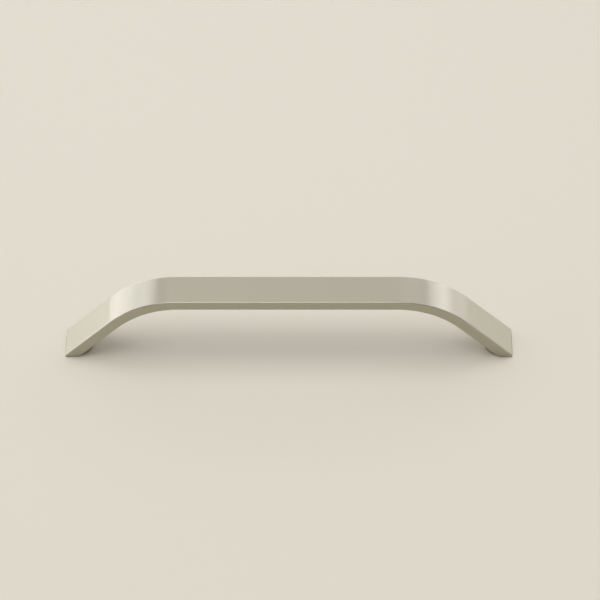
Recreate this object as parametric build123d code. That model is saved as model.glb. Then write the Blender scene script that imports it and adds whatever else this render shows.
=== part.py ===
from build123d import *
import os
from math import cos, isclose, radians, sin, tan

# Bridge pull handle, die cast in one piece: a flat rectangular bar that stands off the door on
# two slanted legs, each with a tapped pad under it. All lengths are in millimetres. The origin is
# the middle of the mounting plane, +X runs along the handle and +Z points away from the door.

# Overall form
overall_length = 173.0      # tip to tip, along X
hole_spacing = 160.0        # between the two screw axes
projection = 29.5           # from the mounting plane to the grip's outer face
bar_width = 14.5            # across the bar, along Y

# Side profile
grip_thickness = 3.8        # straight middle run
leg_thickness = 4.4         # square to the leg, a little stouter than the grip
leg_angle = 45.0            # degrees between a leg and the mounting plane
outer_bend_radius = 37.0
inner_bend_radius = 33.5
tip_height = 1.0            # upright land that ends each leg
tip_round = 0.8             # where that land meets the leg's outer face

# Long edges, softened by polishing
outer_edge_round = 0.4
inner_edge_round = 0.3

# Pads that the legs stand on, with a rounded inner end
pad_length = 10.8           # from the tip to the pad's inner end
pad_setback = 0.8           # step in from the bar's side faces
pad_blend = 0.4             # cast fillet between a pad and its leg

# Blind M4 holes, tapped from the mounting plane
tap_drill_radius = 1.65
drill_point_angle = 118.0   # degrees, across the point
mouth_radius = 2.15         # 90 degree countersink, just clear of the thread
hole_roof = 0.75            # least metal between the drilled wall and the leg's outer face

# Places that follow from the sizes above
tip_x = overall_length / 2
hole_x = hole_spacing / 2
leg_slope = tan(radians(leg_angle))
grip_inner_z = projection - grip_thickness
heel_x = tip_x + tip_height / leg_slope - leg_thickness / sin(radians(leg_angle))
pad_radius = bar_width / 2 - pad_setback
pad_centre_x = tip_x - pad_length + pad_radius


def outline(corners):
    """Sketch of a side profile from the corners of its right half: x, z and rounding."""
    points = [(x, z) for x, z, rounding in corners]
    mirrored = [(-x, z) for x, z in reversed(points)]
    sketch = Sketch() + make_face(Polyline(*points, *mirrored, close=True))
    for x, z, rounding in corners:
        if rounding:
            pair = [v for v in sketch.vertices() if isclose(abs(v.X), x) and isclose(v.Y, z)]
            sketch = fillet(pair, rounding)
    return sketch


def across_the_bar(sketch):
    """A side profile, extruded over the bar's whole width."""
    return extrude(Plane.XZ * sketch, bar_width / 2, both=True)


def side_edges(body, profile):
    """The body's edges that follow a profile along both side faces, off the mounting plane."""
    line = Plane.XZ * profile.wire()
    chosen = []
    for edge in body.edges():
        middle = edge @ 0.5
        on_side = isclose(abs(middle.Y), bar_width / 2)
        on_line = line.distance_to(Vector(middle.X, 0, middle.Z)) < 1e-4
        if on_side and on_line and middle.Z > 1e-4:
            chosen.append(edge)
    return chosen


def outer_form():
    """Everything under the handle's outer face, down to the mounting plane."""
    shoulder_x = tip_x - (projection - tip_height) / leg_slope
    profile = outline([
        (tip_x, 0, 0),
        (tip_x, tip_height, tip_round),
        (shoulder_x, projection, outer_bend_radius),
    ])
    body = across_the_bar(profile)
    return fillet(side_edges(body, profile), outer_edge_round)


def finger_gap_profile():
    """Side profile of the space between the grip, the legs and the door."""
    return outline([
        (heel_x, 0, 0),
        (heel_x - grip_inner_z / leg_slope, grip_inner_z, inner_bend_radius),
    ])


def pad(side):
    """Upright block with a rounded inner end that fills the corner under one leg."""
    rounded_end = Pos(pad_centre_x, 0) * Circle(pad_radius)
    run = tip_x - pad_centre_x
    straight_run = Pos(pad_centre_x + run / 2, 0) * Rectangle(run, 2 * pad_radius)
    block = extrude(rounded_end + straight_run, pad_length * leg_slope)
    return block if side > 0 else mirror(block, about=Plane.YZ)


def pad_corners(body):
    """The edges where the pads' walls run into the undersides of the legs."""
    chosen = []
    for edge in body.edges():
        middle = edge @ 0.5
        off_centre = abs(abs(middle.X) - pad_centre_x)
        on_wall = isclose((off_centre**2 + middle.Y**2) ** 0.5, pad_radius, rel_tol=1e-5)
        on_leg = isclose(middle.Z, (heel_x - abs(middle.X)) * leg_slope, rel_tol=1e-5)
        if on_wall and on_leg:
            chosen.append(edge)
    return chosen


def tapped_hole(side):
    """Tool for one blind hole: countersunk mouth, drilled wall and drill point."""
    outer_face_z = tip_height + (tip_x - hole_x - tap_drill_radius) * leg_slope
    depth = outer_face_z - hole_roof / cos(radians(leg_angle))
    point_length = tap_drill_radius / tan(radians(drill_point_angle / 2))
    section = Polyline(
        (0, 0),
        (mouth_radius, 0),
        (tap_drill_radius, mouth_radius - tap_drill_radius),
        (tap_drill_radius, depth),
        (0, depth + point_length),
        close=True,
    )
    return Pos(side * hole_x, 0, 0) * revolve(Plane.XZ * make_face(section), Axis.Z)


def bridge_handle():
    """The whole casting: outer form, less the finger gap around its pads, less the holes."""
    gap = finger_gap_profile()
    body = outer_form() - (across_the_bar(gap) - pad(1) - pad(-1))
    body = fillet(side_edges(body, gap), inner_edge_round)
    body = fillet(pad_corners(body), pad_blend)
    return body - tapped_hole(1) - tapped_hole(-1)


os.makedirs("parts", exist_ok=True)
export_step(bridge_handle(), "parts/bridge_handle.step")
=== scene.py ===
from math import pi, radians, tan

import bpy
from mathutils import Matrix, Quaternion, Vector


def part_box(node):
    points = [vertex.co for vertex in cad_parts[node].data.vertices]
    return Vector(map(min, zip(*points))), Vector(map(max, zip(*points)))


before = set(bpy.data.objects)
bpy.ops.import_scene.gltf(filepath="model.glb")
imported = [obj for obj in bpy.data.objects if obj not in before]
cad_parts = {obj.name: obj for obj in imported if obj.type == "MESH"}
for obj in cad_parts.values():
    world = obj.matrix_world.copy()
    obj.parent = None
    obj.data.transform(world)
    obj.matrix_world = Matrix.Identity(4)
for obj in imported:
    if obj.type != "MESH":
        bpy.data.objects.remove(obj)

# Bridge pull handle in satin nickel, standing on its feet on a pale sheet. Metres, in the frame
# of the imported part: +X along the bar, +Z away from the door.

# The side profile that the brushing follows
BEND_RADIUS = 0.037
LEG_ANGLE = radians(45)
TIP_HEIGHT = 0.001

# Satin nickel over cast zinc
NICKEL = (0.567, 0.539, 0.435, 1)
NICKEL_WORN = (0.60, 0.58, 0.48, 1)
NICKEL_ROUGHNESS = 0.29
ROUGHNESS_SPREAD = 0.015
NICKEL_BRUSHING = 0.7
SIDE_PAINTED_SHADE = 0.21        # painted shade: share by which the colour of the two long sides is darkened, for the darker surroundings they mirror
SIDE_SHADE_FALLOFF = 4.0          # how quickly that fades on a face that turns away from the side

# Brushed lines: noise per metre along the bar, across it and into it
LINE_DENSITY = (60, 4500, 4500)
LINE_DETAIL = 3.0
LINE_RAGGEDNESS = 0.6
LINE_TROUGH, LINE_CREST = 0.25, 0.75
LINE_HEIGHT = 0.000012
LINE_STRENGTH = 0.02

# Slow waves left by polishing
WAVE_DENSITY = 45.0
WAVE_DETAIL = 2.0
WAVE_HEIGHT = 0.00004

# Distances from the outer long edges where rubbing is full and where it has gone
WORN_FULL = 0.0003
WORN_GONE = 0.0009

# Sheet that the handle stands on
SHEET = (0.750, 0.718, 0.628, 1)
SHEET_ROUGHNESS = 0.8
SHEET_SHINE = 0.2
SHEET_SIZE = 6.0
SHEET_GAP = 0.00003         # kept clear below the feet

# Light
OVERHEAD_DISTANCE = 1.1
WINDOW_DISTANCE = 2.6
ROOM_FRONT = 0.33
ROOM_BEHIND = 0.56
ROOM_BLEND = 0.6            # how gradual the change is
WHITE_LIGHT = (1.0, 0.985, 0.95)
DAYLIGHT = (0.93, 0.95, 1.07)

# Camera: a long lens, looking down on the handle from the front
CAMERA_AIM = (0.004573, 0, 0.023878)
CAMERA_DISTANCE = 1.3
CAMERA_AZIMUTH = radians(1.115)
CAMERA_ELEVATION = radians(44.82)
CAMERA_ROLL = radians(-0.779)
CAMERA_LENS = 203.36
SENSOR_WIDTH = 36.0


def add_node(tree, kind, inputs=None, **settings):
    """A new node with its settings, each input given as a value or as another node's output."""
    node = tree.nodes.new(kind)
    for name, value in settings.items():
        setattr(node, name, value)
    for name, value in (inputs or {}).items():
        if isinstance(value, bpy.types.NodeSocket):
            tree.links.new(value, node.inputs[name])
        else:
            node.inputs[name].default_value = value
    return node


def math_of(tree, operation, first, second=0.0):
    """The output of one Math node."""
    return add_node(tree, "ShaderNodeMath", {0: first, 1: second}, operation=operation).outputs[0]


def bar_point(tree):
    """Object coordinates unrolled along the bar: run from the middle, place across, depth."""
    low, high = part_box("bridge_handle")
    shoulder = high.x - (high.z - TIP_HEIGHT) / tan(LEG_ANGLE)
    straight_half = shoulder - BEND_RADIUS * tan(LEG_ANGLE / 2)
    coordinates = add_node(tree, "ShaderNodeTexCoord")
    axes = add_node(tree, "ShaderNodeSeparateXYZ", {0: coordinates.outputs["Object"]})
    x, y, z = axes.outputs
    across = math_of(tree, "SUBTRACT", math_of(tree, "ABSOLUTE", x), straight_half)
    above = math_of(tree, "SUBTRACT", z, high.z - BEND_RADIUS)
    turned = math_of(tree, "ARCTAN2", across, above)
    turned = math_of(tree, "MINIMUM", math_of(tree, "MAXIMUM", turned, 0.0), LEG_ANGLE)
    sine, cosine = math_of(tree, "SINE", turned), math_of(tree, "COSINE", turned)
    past = math_of(
        tree, "SUBTRACT", math_of(tree, "MULTIPLY", across, cosine),
        math_of(tree, "MULTIPLY", above, sine))
    out = math_of(
        tree, "ADD", math_of(tree, "MULTIPLY", across, sine),
        math_of(tree, "MULTIPLY", above, cosine))
    run = math_of(tree, "MULTIPLY_ADD", turned, BEND_RADIUS)
    run.node.inputs[2].default_value = straight_half
    run = math_of(tree, "MULTIPLY", math_of(tree, "ADD", run, past), math_of(tree, "SIGN", x))
    depth = math_of(tree, "SUBTRACT", BEND_RADIUS, out)
    point = add_node(tree, "ShaderNodeCombineXYZ", {0: run, 1: y, 2: depth}).outputs[0]
    leaning = math_of(tree, "MULTIPLY", sine, math_of(tree, "SIGN", x))
    lengthwise = add_node(
        tree, "ShaderNodeCombineXYZ",
        {0: cosine, 1: 0.0, 2: math_of(tree, "MULTIPLY", leaning, -1.0)}).outputs[0]
    return point, y, depth, lengthwise


def satin_nickel():
    material = bpy.data.materials.new("satin nickel")
    material.use_nodes = True
    tree = material.node_tree
    shader = tree.nodes["Principled BSDF"]
    point, y, depth, lengthwise = bar_point(tree)

    # Brushing, in lines that run with the bar
    stretched = add_node(
        tree, "ShaderNodeMapping", {"Vector": point, "Scale": LINE_DENSITY})
    lines = add_node(
        tree, "ShaderNodeTexNoise",
        {"Vector": stretched.outputs[0], "Scale": 1.0, "Detail": LINE_DETAIL,
         "Roughness": LINE_RAGGEDNESS})
    swell = add_node(
        tree, "ShaderNodeTexNoise",
        {"Vector": point, "Scale": WAVE_DENSITY, "Detail": WAVE_DETAIL})

    # Outer long edges, rubbed a little brighter
    side = math_of(tree, "SUBTRACT", math_of(tree, "ABSOLUTE", y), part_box("bridge_handle")[1].y)
    squares = math_of(
        tree, "ADD", math_of(tree, "MULTIPLY", side, side),
        math_of(tree, "MULTIPLY", depth, depth))
    from_edge = math_of(tree, "SQRT", squares)
    worn = add_node(
        tree, "ShaderNodeMapRange",
        {"Value": from_edge, "From Min": WORN_FULL, "From Max": WORN_GONE, "To Min": 1.0,
         "To Max": 0.0}, interpolation_type="SMOOTHSTEP").outputs[0]
    colour = add_node(
        tree, "ShaderNodeMix", {"Factor": worn, "A": NICKEL, "B": NICKEL_WORN},
        data_type="RGBA")

    # Painted shade: the two long sides darkened in colour, for the darker surroundings they
    # mirror
    normal = add_node(tree, "ShaderNodeNewGeometry").outputs["Normal"]
    facing = add_node(tree, "ShaderNodeSeparateXYZ", {0: normal}).outputs["Y"]
    painted_side_shade = math_of(tree, "POWER", math_of(tree, "ABSOLUTE", facing), SIDE_SHADE_FALLOFF)
    colour = add_node(
        tree, "ShaderNodeMix",
        {"Factor": math_of(tree, "MULTIPLY", painted_side_shade, SIDE_PAINTED_SHADE), "A": colour.outputs["Result"],
         "B": (0, 0, 0, 1)}, data_type="RGBA")
    tree.links.new(colour.outputs["Result"], shader.inputs["Base Color"])

    roughness = add_node(
        tree, "ShaderNodeMapRange",
        {"Value": lines.outputs[0], "From Min": LINE_TROUGH, "From Max": LINE_CREST,
         "To Min": NICKEL_ROUGHNESS - ROUGHNESS_SPREAD,
         "To Max": NICKEL_ROUGHNESS + ROUGHNESS_SPREAD})
    tree.links.new(roughness.outputs[0], shader.inputs["Roughness"])

    # Relief of the lines on the waves
    waves = add_node(
        tree, "ShaderNodeBump",
        {"Height": swell.outputs[0], "Strength": 1.0, "Distance": WAVE_HEIGHT})
    brushed = add_node(
        tree, "ShaderNodeBump",
        {"Height": lines.outputs[0], "Normal": waves.outputs[0],
         "Strength": LINE_STRENGTH, "Distance": LINE_HEIGHT})
    tree.links.new(brushed.outputs[0], shader.inputs["Normal"])

    # Highlights stretched square to the brushing
    across = add_node(
        tree, "ShaderNodeVectorMath", {0: normal, 1: lengthwise},
        operation="CROSS_PRODUCT").outputs[0]
    tree.links.new(across, shader.inputs["Tangent"])
    shader.inputs["Metallic"].default_value = 1.0
    shader.inputs["Anisotropic"].default_value = NICKEL_BRUSHING
    return material


def pale_sheet():
    material = bpy.data.materials.new("pale sheet")
    material.use_nodes = True
    tree = material.node_tree
    shader = tree.nodes["Principled BSDF"]
    shader.inputs["Base Color"].default_value = SHEET
    shader.inputs["Roughness"].default_value = SHEET_ROUGHNESS
    shader.inputs["Specular IOR Level"].default_value = SHEET_SHINE
    return material


def lay_sheet():
    bpy.ops.object.select_all(action="DESELECT")
    bpy.ops.mesh.primitive_plane_add(size=SHEET_SIZE, location=(0, 0, -SHEET_GAP))
    sheet = bpy.context.object
    sheet.name = "pale_sheet"
    sheet.data.materials.append(pale_sheet())


def soft_box(name, azimuth, elevation, distance, wide, tall, radiance, colour):
    """An area lamp aimed at the handle. Azimuth 0 is behind it and 90 to its right; wide and
    tall are the angles that the lamp spans, seen from the handle."""
    lamp = bpy.data.lights.new(name, "AREA")
    lamp.shape = "RECTANGLE"
    lamp.color = colour
    lamp.size = 2 * distance * tan(radians(wide / 2))
    lamp.size_y = 2 * distance * tan(radians(tall / 2))
    lamp.energy = radiance * pi * lamp.size * lamp.size_y
    holder = bpy.data.objects.new(name, lamp)
    bpy.context.scene.collection.objects.link(holder)
    towards = Vector((0, 1, 0))
    towards.rotate(Quaternion((1, 0, 0), radians(elevation)))
    towards.rotate(Quaternion((0, 0, 1), radians(-azimuth)))
    holder.location = towards * distance
    holder.rotation_euler = (-towards).to_track_quat("-Z", "Y").to_euler()
    holder.visible_camera = False
    return holder


def light_studio():
    world = bpy.data.worlds.new("soft room")
    bpy.context.scene.world = world
    world.use_nodes = True
    tree = world.node_tree
    room = tree.nodes["Background"]
    room.inputs["Color"].default_value = (*WHITE_LIGHT, 1)
    direction = add_node(tree, "ShaderNodeTexCoord").outputs["Generated"]
    behind = add_node(tree, "ShaderNodeSeparateXYZ", {0: direction}).outputs["Y"]
    strength = add_node(
        tree, "ShaderNodeMapRange",
        {"Value": behind, "From Min": -ROOM_BLEND, "From Max": ROOM_BLEND, "To Min": ROOM_FRONT,
         "To Max": ROOM_BEHIND}, interpolation_type="SMOOTHSTEP")
    tree.links.new(strength.outputs[0], room.inputs["Strength"])
    soft_box("overhead soft box", -75, 82, OVERHEAD_DISTANCE, 50, 29, 1.2, WHITE_LIGHT)
    # Light from overhead that the metal does not mirror, so that the grip is not washed out
    bounce = soft_box("overhead bounce", -75, 82, OVERHEAD_DISTANCE, 50, 29, 4.0, WHITE_LIGHT)
    bounce.visible_glossy = False
    soft_box("left window", -76.5, 15, WINDOW_DISTANCE, 91, 33, 1.0, DAYLIGHT)
    soft_box("left window sill", -50, 0, WINDOW_DISTANCE, 60, 8, 1.42, DAYLIGHT)
    soft_box("left window blind", -36, 34, WINDOW_DISTANCE, 18, 10, 1.12, DAYLIGHT)
    soft_box("back window", -2, 16, WINDOW_DISTANCE, 60, 30, 0.95, DAYLIGHT)
    soft_box("right window", 44, 24.5, WINDOW_DISTANCE, 36, 10, 1.73, DAYLIGHT)
    soft_box("right window sill", 46, 5, WINDOW_DISTANCE, 42, 14, 0.8, DAYLIGHT)
    soft_box("right window blind", 18, 42, WINDOW_DISTANCE, 16, 12, 0.4, DAYLIGHT)


def place_camera():
    camera = bpy.data.cameras.new("camera")
    camera.sensor_width = SENSOR_WIDTH
    camera.lens = CAMERA_LENS
    holder = bpy.data.objects.new("camera", camera)
    bpy.context.scene.collection.objects.link(holder)
    back = Vector((0, -1, 0))
    back.rotate(Quaternion((1, 0, 0), -CAMERA_ELEVATION))
    back.rotate(Quaternion((0, 0, 1), CAMERA_AZIMUTH))
    holder.location = Vector(CAMERA_AIM) + back * CAMERA_DISTANCE
    holder.rotation_mode = "QUATERNION"
    level = (-back).to_track_quat("-Z", "Y")
    holder.rotation_quaternion = level @ Quaternion((0, 0, 1), CAMERA_ROLL)
    bpy.context.scene.camera = holder


bpy.context.view_layer.update()

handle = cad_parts["bridge_handle"]
nickel = satin_nickel()
for slot in handle.material_slots:
    slot.material = nickel
lay_sheet()
light_studio()
place_camera()
bpy.context.scene.view_settings.view_transform = "Standard"

bpy.context.view_layer.update()
